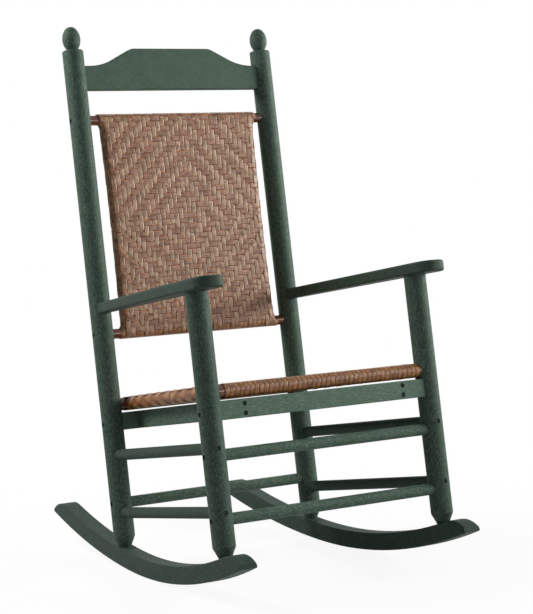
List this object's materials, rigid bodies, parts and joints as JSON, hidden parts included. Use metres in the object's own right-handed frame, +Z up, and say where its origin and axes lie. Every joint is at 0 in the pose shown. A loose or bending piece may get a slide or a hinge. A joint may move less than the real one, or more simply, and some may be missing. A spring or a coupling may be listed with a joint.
{
  "type": "rocking chair",
  "caption": "Porch rocking chair with round posts and stretchers, paddle arms, curved rockers, an ogee crest rail and a woven seat and back.",
  "frame": {"origin": "on the floor, midway between the places where the two rockers touch it with the chair at balance", "axes": "+Z up, -Y the way the chair faces, +X to the right of someone who looks at its front"},
  "size_m": [0.5488, 0.8566, 1.0867],
  "materials": {
    "frame": "matte, fine grain along the stock",
    "rods": "glossy red-brown",
    "weave": "satin flat strand",
    "screws": "dark coated steel"
  },
  "bodies": {
    "root": {"left_rear_post": "frame", "right_rear_post": "frame", "left_front_post": "frame", "right_front_post": "frame", "left_rocker": "frame", "right_rocker": "frame", "left_arm": "frame", "right_arm": "frame", "crest_rail": "frame", "front_seat_rail": "frame", "rear_seat_rail": "frame", "left_seat_rail": "frame", "right_seat_rail": "frame", "front_upper_stretcher": "frame", "front_lower_stretcher": "frame", "left_upper_stretcher": "frame", "left_lower_stretcher": "frame", "right_upper_stretcher": "frame", "right_lower_stretcher": "frame", "rear_lower_stretcher": "frame", "back_upper_rod": "rods", "back_lower_rod": "rods", "seat_front_rod": "rods", "seat_rear_rod": "rods", "back_weave": "weave", "seat_weave": "weave", "post_screws_to_front_stretchers": "screws", "post_screws_to_rear_stretcher": "screws", "post_screws_to_side_stretchers": "screws", "front_rail_screws": "screws", "rear_rail_screws": "screws", "post_screws_to_rails": "screws", "post_screws_to_back_rods": "screws", "post_screws_to_arms": "screws", "arm_screws": "screws", "rocker_screws": "screws"}
  },
  "joints": []
}
